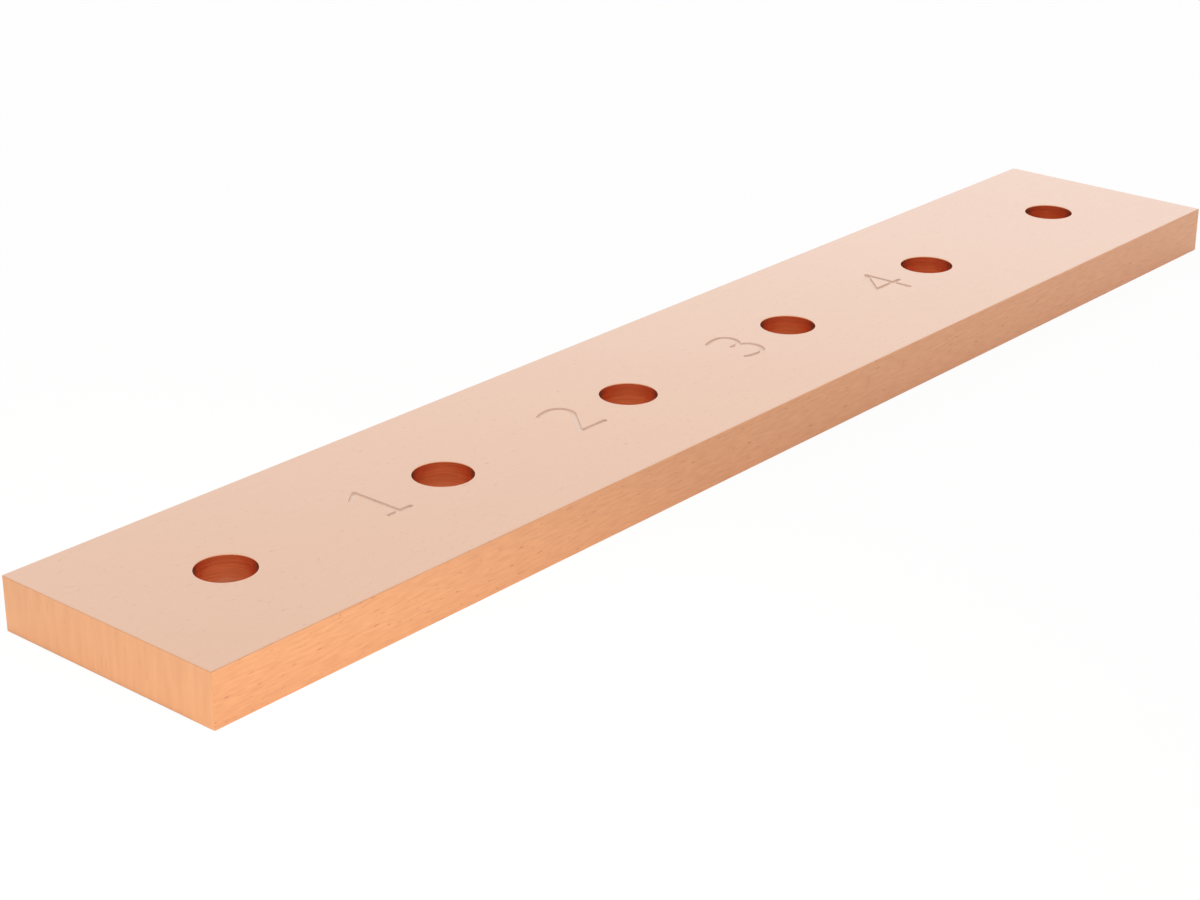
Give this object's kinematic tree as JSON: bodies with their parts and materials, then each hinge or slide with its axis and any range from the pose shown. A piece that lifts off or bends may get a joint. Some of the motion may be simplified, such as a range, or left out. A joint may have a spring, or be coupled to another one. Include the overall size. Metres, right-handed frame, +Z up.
{
  "type": "earth terminal bar",
  "caption": "Flat copper bar drilled along its centre line, with a fixing hole at each end and numbered terminal holes between them for bolting on earth conductors.",
  "frame": {"origin": "centre of the flat underside", "axes": "+X along the bar's length, from the first number to the last; +Y across its width; +Z up, out of the numbered face"},
  "size_m": [0.3, 0.05, 0.01],
  "materials": {
    "copper": "brushed"
  },
  "bodies": {
    "root": {"earth_bar": "copper"}
  },
  "joints": []
}
